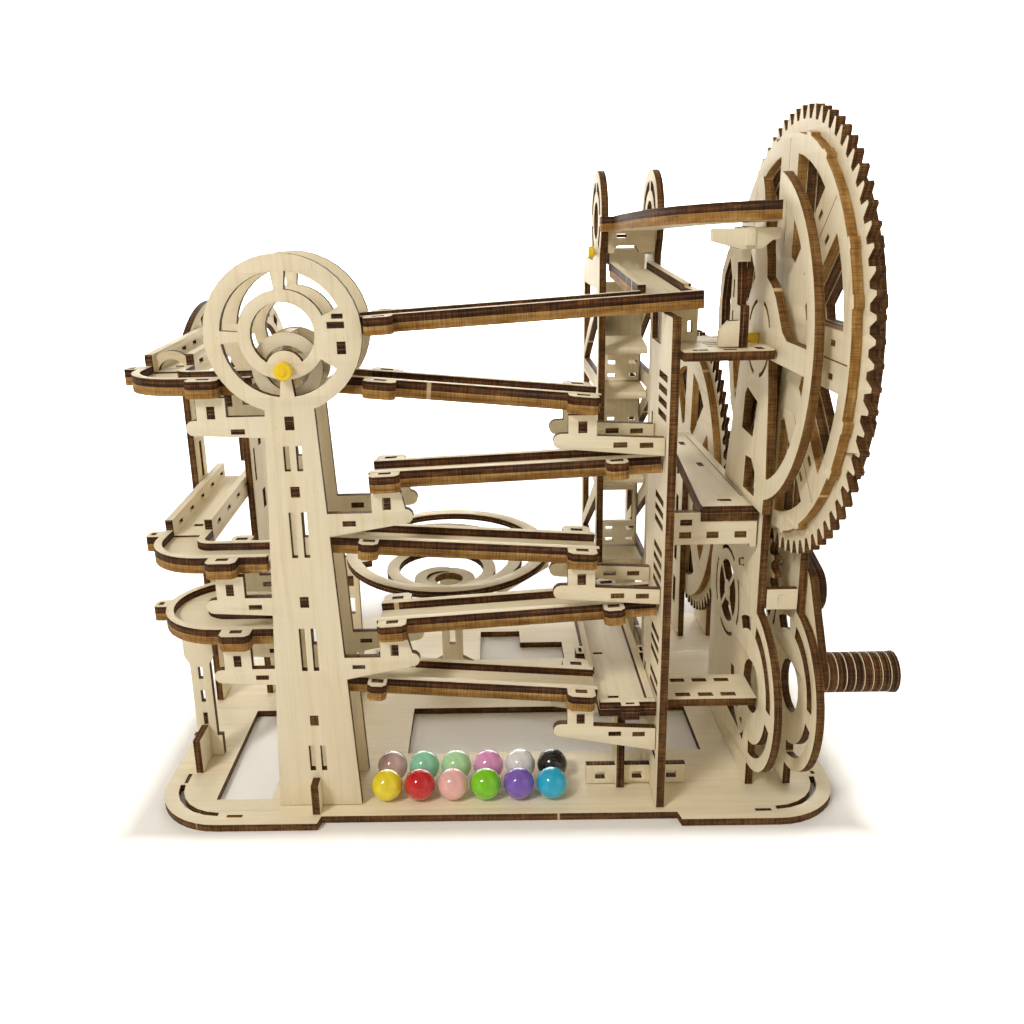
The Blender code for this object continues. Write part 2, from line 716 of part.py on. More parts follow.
def wheel_plate_holes():
    holes = []
    for start, end, steps in ((100, 175, 9), (190, 262, 9), (55, 84, 4), (-80, -8, 8)):
        holes.append(sector(-76, 45, 22, 27, start, end, steps))
    holes.append(round_box(-88, 36, -68, 56, 9.5, 4))
    for start in (-35, 55, 145, 235):
        holes.append(sector(-37.4, 68.6, 17.5, 19.0, start, start + 62, 8))
        holes.append(spoke_window(-37.4, 68.6, 4.5, 13, start - 14, start + 76, 2.2, 6))
    holes.append([(-65, 138), (-47, 138), (-52, 150), (-60, 158), (-65, 158)])
    holes.append(box(-66, 113, -40, 130))
    holes.append(box(-69, 20, -45, 27))
    holes.append(circle(WHEEL_Y, WHEEL_Z, AXLE_R + FIT, 14))
    holes.append(circle(CRANK_Y, CRANK_Z, AXLE_R + FIT, 14))
    return holes


def crescent_outline():
    """A crescent on a broad neck; the neck carries the wheel's hub."""
    bottom = SHELF_MIDDLE + 5.7 + 2 * FIT
    band = math.degrees(math.asin((BAND_HIGH - WHEEL_Z) / CRESCENT_IN))
    points = [(-36.0, bottom), (-38.3, 126.9), (-45.8, 150.6), (-49.7, 166.5), (-51.5, 178)]
    points += [(-54.5, 187), (-59, 193), (-63.5, 197.5), (-62, 205), (-61.4, 223.6), (-59.7, 231)]
    points += [(-66.5, 231), (-69, 227), (-77, 204), (-78, 198.5), (-84, 196), (-89, 192.5)]
    points += [(-93.5, 187.5), (-98, 182.5), (-103, BAND_HIGH)]
    points += arc(WHEEL_Y, WHEEL_Z, CRESCENT_IN, 180 - band, 107, 14)
    points += [(-86.4, 230.5), (-87.4, 231.8)]
    points += arc(WHEEL_Y, WHEEL_Z, CRESCENT_R, 107, 252, 30)
    points += [(-89.0, bottom)]
    return points


def crescent_holes():
    band = math.degrees(math.asin((WHEEL_Z - BAND_LOW) / CRESCENT_IN))
    window = arc(WHEEL_Y, WHEEL_Z, CRESCENT_IN, 180 + band, 247, 14)
    window += [(-90.6, 131.8), (-87.7, 158.6), (-85.2, BAND_LOW)]
    holes = [window]
    for start in (22, 108, 205, 286):
        holes.append(sector(WHEEL_Y, WHEEL_Z, 12.4, 13.8, start, start + 50, 6))
    holes.append([(-57.7, 142.6), (-72.1, 142.2), (-75.4, 155.6), (-62, 158.6), (-59.5, 156)])
    holes.append([(-63.5, 121.2), (-78.0, 121.6), (-77.2, 130.5), (-72, 134.2), (-64.6, 133.6)])
    holes.append(circle(WHEEL_Y, WHEEL_Z, AXLE_R + FIT, 14))
    return holes


def build_wheel_stand():
    outline = wheel_plate_outline()
    holes = wheel_plate_holes()
    plate("wheel_plate_inner", "yz", INNER_X, outline, holes)
    plate("wheel_plate_outer", "yz", OUTER_X, outline, holes)
    plate("wheel_crescent", "yz", INNER_X - FIT - PLY, crescent_outline(), crescent_holes())
    for name, x in (("rear_post_inner", INNER_X), ("rear_post_outer", OUTER_X)):
        post = [(REAR_WHEEL_Y - 14, BASE_TOP + FIT), (REAR_WHEEL_Y + 14, BASE_TOP + FIT)]
        post += arc(REAR_WHEEL_Y, REAR_WHEEL_Z, 11, 0, 180, 12)
        slots = [box(REAR_WHEEL_Y - 3, z, REAR_WHEEL_Y + 3, z + 14) for z in (18, 42, 64)]
        slots.append(circle(REAR_WHEEL_Y, REAR_WHEEL_Z, AXLE_R + FIT, 14))
        plate(name, "yz", x, post, slots)


def stepped_rim(cx, cy, radius, joint_turn):
    """A disc of eight cheeks: a hook stands out on either side of each joint."""
    points = []
    for i in range(8):
        joint = joint_turn + 45 * i
        points += arc(cx, cy, radius - 1.3, joint - 13.5, joint + 13.5, 4)
        points += arc(cx, cy, radius, joint + 13.8, joint + 16.8, 1)
        points += arc(cx, cy, radius - 0.7, joint + 17.1, joint + 27.9, 2)
        points += arc(cx, cy, radius, joint + 28.2, joint + 31.2, 1)
    return points


def cheek_holes(cx, cy, turn):
    """Joint seams down the middle of the spokes, with a slot on each side."""
    holes = []
    for i in range(8):
        spin = Matrix.Rotation(math.radians(turn + 45 * i), 2)
        for shape in (box(32, -0.17, 65, 0.17), box(51, 4.0, 54.5, 5.8), box(51, -5.8, 54.5, -4.0)):
            turned_shape = [spin @ Vector(point) for point in shape]
            holes.append([(cx + point.x, cy + point.y) for point in turned_shape])
    return holes


def build_wheels():
    bore = circle(WHEEL_Y, WHEEL_Z, AXLE_R + 0.15, 12)
    toward_pinion = math.degrees(math.atan2(CRANK_Z - WHEEL_Z, CRANK_Y - WHEEL_Y))
    teeth = gear_outline(WHEEL_Y, WHEEL_Z, WHEEL_TEETH, MODULE, toward_pinion)
    windows = []
    for i in range(8):
        windows.append(spoke_window(WHEEL_Y, WHEEL_Z, 29, 60.5, 45 * i, 45 * i + 45, 18, 6))
    face = stepped_rim(WHEEL_Y, WHEEL_Z, 68.0, 0)
    seams = cheek_holes(WHEEL_Y, WHEEL_Z, 0)
    plate("wheel_teeth", "yz", WHEEL_X, teeth, windows + [bore])
    plate("wheel_face_inner", "yz", WHEEL_X - PLY - FIT, face, windows + seams + [bore])
    plate("wheel_face_outer", "yz", WHEEL_X + PLY + FIT, face, windows + seams + [bore])
    rod("wheel_axle", (96.8, WHEEL_Y, WHEEL_Z), (119.6, WHEEL_Y, WHEEL_Z), AXLE_R, DARK_BIRCH, 12)
    outline = gear_outline(REAR_WHEEL_Y, REAR_WHEEL_Z, REAR_WHEEL_TEETH, MODULE, 0)
    windows = []
    for i in range(8):
        start = 3.7 + 45 * i
        windows.append(spoke_window(REAR_WHEEL_Y, REAR_WHEEL_Z, 24, 55, start, start + 45, 14, 5))
    wheel = plate("rear_wheel", "yz", WHEEL_X, outline, windows)
    axle_ends = ((INNER_X - 1, REAR_WHEEL_Y, REAR_WHEEL_Z), (OUTER_X + 4, REAR_WHEEL_Y, REAR_WHEEL_Z))
    axle = rod("rear_axle", axle_ends[0], axle_ends[1], AXLE_R, DARK_BIRCH, 12)
    fuse(wheel, [axle])
    for name in ("wheel_teeth", "wheel_face_inner", "wheel_face_outer", "wheel_axle"):
        set_origin(bpy.data.objects[name], WHEEL_X, WHEEL_Y, WHEEL_Z)
    set_origin(wheel, WHEEL_X, REAR_WHEEL_Y, REAR_WHEEL_Z)


def turned(name, profile, steps, colour):
    """A turned body along X: profile is (distance along X, radius)."""
    mesh = bpy.data.meshes.new(name)
    work = bmesh.new()
    line = [work.verts.new((radius * MM, 0.0, x * MM)) for x, radius in profile]
    for a, b in zip(line, line[1:] + line[:1]):
        work.edges.new((a, b))
    work.to_mesh(mesh)
    work.free()
    obj = bpy.data.objects.new(name, mesh)
    link(obj)
    spin = obj.modifiers.new("turn", "SCREW")
    spin.steps = steps
    spin.render_steps = steps
    spin.use_merge_vertices = True
    spin.merge_threshold = 0.00001
    bpy.context.view_layer.update()
    graph = bpy.context.evaluated_depsgraph_get()
    result = bpy.data.meshes.new_from_object(obj.evaluated_get(graph))
    obj.modifiers.clear()
    work = bmesh.new()
    work.from_mesh(result)
    bmesh.ops.remove_doubles(work, verts=work.verts, dist=0.00001)
    bmesh.ops.recalc_face_normals(work, faces=work.faces)
    work.to_mesh(result)
    work.free()
    result.transform(Matrix.Rotation(math.radians(90), 4, "Y"))
    result.materials.append(make_material(name + "_finish", colour))
    obj.data = result
    return obj


def rounded_hull(circles):
    """The outline of a band stretched around a row of circles."""
    points = []
    for y, z, radius in circles:
        points += [Vector(point) for point in circle(y, z, radius, 24)]
    order = geometry.convex_hull_2d(points)
    return [(points[i].x, points[i].y) for i in order]


def build_crank():
    toward_wheel = math.degrees(math.atan2(WHEEL_Z - CRANK_Z, WHEEL_Y - CRANK_Y))
    half_step = 180 / PINION_TEETH
    teeth = gear_outline(CRANK_Y, CRANK_Z, PINION_TEETH, MODULE, toward_wheel + half_step)
    bore = circle(CRANK_Y, CRANK_Z, AXLE_R + 0.15, 12)
    plate("crank_pinion", "yz", WHEEL_X, teeth, [bore])
    rod("crank_axle", (98.8, CRANK_Y, CRANK_Z), (125.4, CRANK_Y, CRANK_Z), AXLE_R, DARK_BIRCH, 12)
    start = OUTER_X + PLY + 0.6
    boss = (CRANK_Y, CRANK_Z, 8.2)
    elbow = (ELBOW_Y, ELBOW_Z, 8.6)
    pin_hole = circle(GRIP_Y, GRIP_Z, AXLE_R + 0.15, 12)
    arm = plate("crank_arm", "yz", start, rounded_hull([boss, elbow, (GRIP_Y, GRIP_Z, 7.4)]),
                [bore, pin_hole], PLY, DARK_BIRCH)
    wider_bore = circle(CRANK_Y, CRANK_Z, AXLE_R + 0.25, 12)
    cheek = plate("arm_cheek", "yz", start + PLY - SKIN,
                  rounded_hull([(CRANK_Y, CRANK_Z, 8.0), (ELBOW_Y, ELBOW_Z, 8.4)]), [wider_bore])
    fuse(arm, [cheek])
    grip_start = start + PLY + FIT
    rod("grip_pin", (start + FIT, GRIP_Y, GRIP_Z), (147.6, GRIP_Y, GRIP_Z), AXLE_R, DARK_BIRCH, 12)
    discs = 8
    profile = [(grip_start, AXLE_R + FIT)]
    for i in range(discs):
        x = grip_start + i * 3.15
        profile += [(x, 7.3), (x + 2.85, 7.3), (x + 3.0, 6.9)]
    profile[-2:] = [(profile[-2][0], 7.6), (profile[-1][0], 7.2)]
    profile.append((grip_start + discs * 3.15, AXLE_R + FIT))
    grip = turned("crank_grip", profile, 18, DARK_BIRCH)
    grip.location = (0.0, GRIP_Y * MM, GRIP_Z * MM)
    for name in ("crank_pinion", "crank_axle", "crank_arm", "grip_pin"):
        set_origin(bpy.data.objects[name], WHEEL_X, CRANK_Y, CRANK_Z)
    set_origin(grip, grip_start, GRIP_Y, GRIP_Z)
    paddle = []
    for i in range(6):
        angle = 90 + 60 * i
        paddle.append(polar(TOWER_X, PADDLE_Z, 3.6, angle - 30))
        paddle.append(polar(TOWER_X, PADDLE_Z, 12, angle - 8))
        paddle.append(polar(TOWER_X, PADDLE_Z, 12, angle + 8))
    bore = circle(TOWER_X, PADDLE_Z, AXLE_R + 0.15, 12)
    star = plate("paddle_wheel", "xz", -83.0, paddle, [bore], 14.0)
    axle = rod("paddle_axle", (TOWER_X, -91.6, PADDLE_Z), (TOWER_X, -61.5, PADDLE_Z), AXLE_R,
               YELLOW, 12)
    set_origin(star, TOWER_X, -76, PADDLE_Z)
    set_origin(axle, TOWER_X, -76, PADDLE_Z)


# ------------------------------------------------- lift tower and its channels
def lift_outline():
    """A deep column with a rounded rear shoulder and a round head in front."""
    rear = LIFT_FRONT + LIFT_DEPTH
    shoulder = 200.0
    meet_rear = math.degrees(math.asin((shoulder - EAR_Z) / EAR_R))
    meet_front = 180 + math.degrees(math.acos((EAR_Y - LIFT_FRONT) / EAR_R))
    points = [(LIFT_FRONT, BASE_TOP + FIT), (rear, BASE_TOP + FIT)]
    points += arc(rear - 8, shoulder - 8, 8, 0, 90, 6)
    points += arc(EAR_Y, EAR_Z, EAR_R, meet_rear, meet_front, 30)
    return points


def lift_holes():
    holes = [circle(FLAP_Y, FLAP_Z, AXLE_R + FIT, 14), circle(EAR_Y, EAR_Z, 8, 16)]
    for start, end in ((97, 170), (10, 83), (190, 228), (305, 350)):
        holes.append(sector(EAR_Y, EAR_Z, 12.4, 16.4, start, end, 6))
    for z in (60, 105, 150):
        holes.append([(21, z), (78, z), (21, z + 33)])
        holes.append([(78, z + 6), (78, z + 38), (27, z + 38)])
    holes.append(box(22, 15, 78, 48))
    return holes


def channel_floor_height(y):
    """Underside of the top channel, which falls towards the front."""
    return 190.3 + (y - LANE_REAR) * 0.05


def build_lift():
    outline = lift_outline()
    holes = lift_holes()
    plate("lift_left_plate", "yz", LIFT_LEFT, outline, holes)
    plate("lift_right_plate", "yz", LIFT_RIGHT, outline, holes)
    x0 = LIFT_LEFT + PLY + FIT
    x1 = LIFT_RIGHT - FIT
    back = box(x0, BASE_TOP + FIT, x1, 190)
    windows = [box(57.0, 72.9, 72.4, 89.2)]
    for low in (22.0, 62.4, 68.2, 92.0, 124.0, 145.2, 151.4, 156.8):
        windows.append(box(59.3, low, 63.0, low + 2.0))
        windows.append(box(69.4, low + 0.05, 73.2, low + 2.05))
    body = plate("lift_steps", "xz", LIFT_BACK, back, windows)
    steps = []
    for front, rear in ((162.0, 165.2), (141.4, 143.3), (101.0, 102.0), (60.0, 59.6)):
        step = [(24, front - PLY), (LIFT_BACK + 1, rear - PLY), (LIFT_BACK + 1, rear), (24, front)]
        steps.append(plate("step", "yz", x0 + SKIN, step, (), x1 - x0 - 2 * SKIN))
    fuse(body, steps)
    arch = [(x0, 204.0), (57.2, 204.0), (58.6, 207.0), (66.6, 207.0), (68.0, 204.0), (x1, 204.0),
            (x1, 213.4), (x0, 213.4)]
    plate("lift_bridge", "xz", 12.8, arch, [box(58.5, 210.3, 62.5, 211.9)])
    wall = [(-8.0, -8.2), (-5.2, -8.2), (-5.2, -5.4), (11.2, -5.4), (11.2, -2.6), (-5.2, -2.6),
            (-5.2, 1.2), (-8.0, 1.2)]
    trough = plate("flap", "yz", 56.0, wall, (), 15.4)
    cheek = arc(0, 0, 4.2, 0, 180, 8) + [(-6.5, -5.0), (6.5, -5.0)]
    pieces = [
        plate("cheek", "yz", 56.1, cheek, (), PLY),
        plate("cheek", "yz", 68.3, cheek, (), PLY),
        rod("flap_pin", (LIFT_LEFT - 3.4, 0, 0), (LIFT_RIGHT + PLY + 2.0, 0, 0), AXLE_R, YELLOW, 12),
    ]
    fuse(trough, pieces)
    set_origin(trough, 0, 0, 0)
    trough.location = (0.0, FLAP_Y * MM, FLAP_Z * MM)


CHUTE_FRONT = -97.6      # the curved chute's front edge at its right end
CHUTE_BOTTOM = 217.2     # its underside there
CHUTE_FALL = -0.039      # rise per millimetre towards the back


def chute_bottom(y):
    return CHUTE_BOTTOM + (y - CHUTE_FRONT) * CHUTE_FALL


def build_channels():
    middle = LIFT_MID
    length = 12.0 + 66.2
    lane = channel("top_channel", [(0, 0), (0, length)])
    clean(lane.data)
    lane.location = (middle * MM, -66.2 * MM, channel_floor_height(-66.2) * MM)
    lane.rotation_euler = (math.atan(0.05), 0.0, 0.0)
    support = box(62.4, SHELF_TOP + PLY + FIT, 75.7, track_bottom("track_1", 62.4) - FIT)
    plate("channel_support", "xz", -72.0, support, [box(72.2, 180, 73.8, 184)])
    path = bezier((96.4, -88.2), (64.6, -86.0), (middle, 11.2), 16)
    chute = channel("arch_chute", path)
    side = tab([(50.6, 2.6), (56.6, 2.6), (56.6, 8.8), (50.6, 8.8)], box(51.6, 4.4, 53.2, 7.2))
    fuse(chute, [side])
    chute.rotation_euler = (math.atan(CHUTE_FALL), 0.0, 0.0)
    chute.location = (0.0, 0.0, chute_bottom(0.0) * MM)


def build_chute_post():
    """Post under the curved chute, with a cross bar above and a rib at its foot."""
    foot = SHELF_TOP + PLY + FIT
    top = chute_bottom(-62.0) - 2 * FIT
    outline = [(-90, foot), (-62, foot), (-60.5, 186), (-63, 200), (-70, 207.5), (-77, 211),
               (-77, top), (-92.3, top), (-92.6, 209.4), (-88, 209.2), (-88, 204.3), (-83.6, 204),
               (-85.4, 190.5), (-89.6, 190.3), (-90, 184)]
    window = [(-76.5, 181), (-66, 181), (-65, 190), (-67.6, 199), (-73.6, 205), (-77.2, 199)]
    slots = [box(-81, 182, -79.6, 188), box(-81.1, 192.4, -79.7, 198.2)]
    body = plate("chute_post", "yz", 85.4, outline, [window] + slots)
    bar = [(74.8, top - 0.3), (74.8, 211), (84, 208.4), (91, 208.4), (94, 211), (96.3, 211.3),
           (96.3, top - 0.3)]
    rib = [(79.1, foot + 0.2), (86.8, foot + 0.2), (86.8, 185.6), (82.0, 185.5), (79.1, 182.1)]
    fuse(body, [plate("bar", "xz", -91.8, bar), plate("rib", "xz", -89.4, rib)])


def bezier(start, bend, end, steps):
    """Points on a quadratic curve."""
    points = []
    for i in range(steps + 1):
        t = i / steps
        x = (1 - t) ** 2 * start[0] + 2 * t * (1 - t) * bend[0] + t * t * end[0]
        y = (1 - t) ** 2 * start[1] + 2 * t * (1 - t) * bend[1] + t * t * end[1]
        points.append((x, y))
    return points


SHELF_TOP = 173.6        # underside of the shelf beside the wheel
SHELF_MIDDLE = 111.9


def build_shelves():
    x0 = POST_X + PLY + FIT
    x1 = INNER_X - 2 * FIT - PLY - FIT
    shelf = [(x0, -97)] + arc(x1 - 3, -94, 3, 270, 360, 3) + [(x1, -80), (x1 - 3.8, -79)]
    shelf += arc(x1 - 6.8, -59, 3, 0, 90, 3) + arc(x0 + 12, -62, 6, 90, 150, 3) + [(x0, -71.5)]
    slots = [box(70, -93.4, 75, -90.8), box(80, -93.4, 84.4, -90.8), box(91, -93, 93.6, -87),
             box(76.8, -84, 81.8, -82.2), box(76.8, -80, 81.8, -78.2), box(76.8, -76, 81.8, -74.2)]
    plate("shelf_top", "xy", SHELF_TOP, shelf, slots)
    lane = [(79.3, -76), (99.6, -76), (99.6, 44), (86.6, 44), (86.0, 12), (79.3, -72)]
    slots = [box(86.4, -70, 91.4, -67.4), box(90, -20, 92.4, -14), box(90, 18, 92.4, 24),
             box(96.2, -64, 96.5, 38)]
    plate("shelf_middle", "xy", SHELF_MIDDLE, lane, slots, 5.7)
    low = 102.7
    step = SHELF_MIDDLE - FIT
    beam = [(POST_X + PLY + FIT, low), (97.0, low), (97.4, low - 1.2), (99.6, low - 1.2),
            (99.6, step), (79.0, step), (79.0, 115.2), (POST_X + PLY + FIT, 115.2)]
    slots = [box(x, 105.2, x + 4.3, 107.6) for x in (71.4, 81.4, 91.6)]
    slots.append(box(71.6, 110.2, 75.9, 112.4))
    plate("beam_slotted", "xz", -75.4, beam, slots)


# ------------------------------------------------------------------ the funnel
def spiral_ribbon(name, turns, outer, inner, width, top, bottom):
    """A flat ribbon winding inwards and down."""
    mesh = bpy.data.meshes.new(name)
    work = bmesh.new()
    steps = int(turns * 30)
    rings = []
    for i in range(steps + 1):
        t = i / steps
        radius = outer + (inner - outer) * t
        z = top + (bottom - top) * t ** 0.8
        angle = math.radians(200 - 360 * turns * t)
        ring = []
        for reach, height in ((0, 0), (width, 0), (width, PLY), (0, PLY)):
            x = (radius - reach) * math.cos(angle)
            y = (radius - reach) * math.sin(angle)
            ring.append(work.verts.new((x * MM, y * MM, (z + height) * MM)))
        rings.append(ring)
    for a, b in zip(rings, rings[1:]):
        for k in range(4):
            work.faces.new((a[k], a[(k + 1) % 4], b[(k + 1) % 4], b[k]))
    work.faces.new(rings[0][::-1])
    work.faces.new(rings[-1])
    bmesh.ops.recalc_face_normals(work, faces=work.faces)
    work.to_mesh(mesh)
    work.free()
    obj = bpy.data.objects.new(name, mesh)
    mesh.materials.append(make_material(name + "_ply", BIRCH))
    return link(obj)


def build_funnel():
    body = plate("funnel_bowl", "xy", 0, circle(0, 0, FUNNEL_R, 56), [circle(0, 0, 40.5, 48)])
    spiral = spiral_ribbon("funnel_spiral", 2.3, 41.0, 12.5, 5.6, -0.7, -16.0)
    centre = plate("funnel_centre", "xy", -16.6, circle(0, 0, 12.2, 28), [circle(0, 0, 6.5, 20)],
                   PLY + 0.3)
    fuse(body, [spiral, centre])
    body.location = (FUNNEL_X * MM, FUNNEL_Y * MM, FUNNEL_Z * MM)
    body.rotation_euler = (math.radians(4), 0.0, 0.0)
    foot = BASE_TOP + FIT
    top = FUNNEL_Z - 18.4
    post = [(-30, foot), (-6, foot), (-6, 9), (-13, 13), (-13, top), (-23, top), (-23, 13), (-30, 9)]
    plate("funnel_post", "xz", FUNNEL_Y + 14, post, [box(-19.5, 20, -16.5, 42)])
    stand = box(-67, foot, -59.6, FUNNEL_Z - 0.8)
    slots = [box(-64.6, 22, -62.0, 30), box(-64.6, 44, -62.0, 52), box(-64.6, 58, -62.0, 63)]
    plate("funnel_stand", "xz", FUNNEL_Y - 1.5, stand, slots)


build_base()
build_tracks()
build_tower()
build_trays()
build_side_stand()
build_post()
build_brackets()
build_return()
build_low_shelves()
build_wheel_stand()
build_wheels()
build_crank()
build_lift()
build_channels()
build_chute_post()
build_shelves()
build_funnel()
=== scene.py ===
import json
import math

import bmesh
import bpy
import numpy as np
from mathutils import Matrix, Vector

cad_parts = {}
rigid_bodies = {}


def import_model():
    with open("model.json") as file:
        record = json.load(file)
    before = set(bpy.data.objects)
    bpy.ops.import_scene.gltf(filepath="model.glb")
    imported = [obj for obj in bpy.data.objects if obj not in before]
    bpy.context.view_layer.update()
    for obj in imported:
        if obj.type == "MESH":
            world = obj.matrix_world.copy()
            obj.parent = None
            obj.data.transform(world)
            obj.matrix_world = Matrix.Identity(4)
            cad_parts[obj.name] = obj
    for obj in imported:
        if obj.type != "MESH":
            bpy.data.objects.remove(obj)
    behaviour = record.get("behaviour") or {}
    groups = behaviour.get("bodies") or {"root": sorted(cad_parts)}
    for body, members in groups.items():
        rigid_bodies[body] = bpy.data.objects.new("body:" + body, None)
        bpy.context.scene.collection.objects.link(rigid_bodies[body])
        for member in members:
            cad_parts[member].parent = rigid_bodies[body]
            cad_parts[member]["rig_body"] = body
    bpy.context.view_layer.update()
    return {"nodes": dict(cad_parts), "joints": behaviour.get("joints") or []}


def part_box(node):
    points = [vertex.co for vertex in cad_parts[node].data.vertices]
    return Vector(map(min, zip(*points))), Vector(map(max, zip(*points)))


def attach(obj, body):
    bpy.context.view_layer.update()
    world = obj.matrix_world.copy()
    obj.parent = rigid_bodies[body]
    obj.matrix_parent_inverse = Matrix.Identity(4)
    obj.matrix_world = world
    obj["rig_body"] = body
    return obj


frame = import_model()

MM = 0.001
PLY = 3.0
NODES = frame["nodes"]
# A point on each joint's axis, in millimetres.
HINGES = {joint["name"]: [value / MM for value in joint["pos_m"]] for joint in frame["joints"]}


# ------------------------------------------------------------- node helpers
class Shader:
    """A short way to write a node tree."""

    def __init__(self, name):
        self.material = bpy.data.materials.new(name)
        self.material.use_nodes = True
        self.tree = self.material.node_tree
        self.tree.nodes.clear()
        self.output = self.tree.nodes.new("ShaderNodeOutputMaterial")
        self.principled = self.tree.nodes.new("ShaderNodeBsdfPrincipled")
        self.link(self.principled.outputs[0], self.output.inputs["Surface"])

    def link(self, source, target):
        self.tree.links.new(source, target)

    def feed(self, target, value):
        if isinstance(value, bpy.types.NodeSocket):
            self.link(value, target)
        else:
            target.default_value = value

    def set(self, socket, value):
        self.feed(self.principled.inputs[socket], value)

    def math(self, operation, a, b=0.0):
        node = self.tree.nodes.new("ShaderNodeMath")
        node.operation = operation
        self.feed(node.inputs[0], a)
        self.feed(node.inputs[1], b)
        return node.outputs[0]

    def attribute(self, name):
        node = self.tree.nodes.new("ShaderNodeAttribute")
        node.attribute_name = name
        return node

    def object_place(self):
        return self.tree.nodes.new("ShaderNodeTexCoord").outputs["Object"]

    def scaled(self, vector, scale):
        node = self.tree.nodes.new("ShaderNodeMapping")
        self.link(vector, node.inputs["Vector"])
        node.inputs["Scale"].default_value = scale
        return node.outputs[0]

    def noise(self, vector, scale=1.0, detail=3.0, roughness=0.55, distortion=0.0):
        node = self.tree.nodes.new("ShaderNodeTexNoise")
        self.link(vector, node.inputs["Vector"])
        node.inputs["Scale"].default_value = scale
        node.inputs["Detail"].default_value = detail
        node.inputs["Roughness"].default_value = roughness
        node.inputs["Distortion"].default_value = distortion
        return node.outputs[0]

    def ramp(self, factor, *stops):
        node = self.tree.nodes.new("ShaderNodeValToRGB")
        self.link(factor, node.inputs[0])
        elements = node.color_ramp.elements
        while len(elements) < len(stops):
            elements.new(0.5)
        for element, (place, colour) in zip(elements, stops):
            element.position = place
            element.color = (*colour, 1.0) if len(colour) == 3 else colour
        return node.outputs[0]

    def grey(self, factor, low, high, from_low=0.0, from_high=1.0):
        node = self.tree.nodes.new("ShaderNodeMapRange")
        self.feed(node.inputs["Value"], factor)
        node.inputs["From Min"].default_value = from_low
        node.inputs["From Max"].default_value = from_high
        node.inputs["To Min"].default_value = low
        node.inputs["To Max"].default_value = high
        return node.outputs[0]

    def mix(self, factor, a, b):
        node = self.tree.nodes.new("ShaderNodeMix")
        node.data_type = "RGBA"
        self.feed(node.inputs["Factor"], factor)
        self.feed(node.inputs[6], (*a, 1.0) if isinstance(a, tuple) else a)
        self.feed(node.inputs[7], (*b, 1.0) if isinstance(b, tuple) else b)
        return node.outputs[2]

    def bump(self, height, strength, distance):
        node = self.tree.nodes.new("ShaderNodeBump")
        node.inputs["Strength"].default_value = strength
        node.inputs["Distance"].default_value = distance
        self.link(height, node.inputs["Height"])
        self.link(node.outputs[0], self.principled.inputs["Normal"])


# ---------------------------------------------------------------- materials
# "grain" is a vertex vector in millimetres: along the grain, across it, and
# up through the plate.  A second value says how dark a plate's lower layer is: low values paint
# it golden, partly a less scorched cut and partly painted bounce light.
def make_birch_face():
    """Sanded birch veneer: cream, with faint long streaks and fine fibres."""
    s = Shader("birch_face")
    grain = s.attribute("grain").outputs["Vector"]
    broad = s.noise(s.scaled(grain, (0.010, 0.035, 0.05)), 1.0, 2.0)
    streak = s.noise(s.scaled(grain, (0.016, 0.42, 0.2)), 1.0, 5.0, 0.6, 0.6)
    fibre = s.noise(s.scaled(grain, (0.11, 3.4, 1.0)), 1.0, 3.0, 0.7)
    tone = s.ramp(streak, (0.26, (0.70, 0.59, 0.38)), (0.45, (0.81, 0.715, 0.51)),
                  (0.72, (0.85, 0.775, 0.59)))
    tone = s.mix(s.grey(broad, 0.0, 0.55, 0.35, 0.7), tone, (0.86, 0.80, 0.635))
    tone = s.mix(s.grey(fibre, 0.0, 0.15, 0.45, 0.8), tone, (0.56, 0.42, 0.235))
    speck = s.noise(s.scaled(grain, (0.30, 1.7, 1.0)), 1.0, 1.0)
    tone = s.mix(s.grey(speck, 0.0, 0.45, 0.72, 0.80), tone, (0.42, 0.28, 0.14))
    s.set("Base Color", tone)
    s.set("Roughness", s.grey(fibre, 0.46, 0.66))
    s.set("Specular IOR Level", 0.35)
    height = s.math("ADD", s.math("MULTIPLY", fibre, 0.6), s.math("MULTIPLY", streak, 0.4))
    s.bump(height, 0.22, 0.00006)
    return s.material


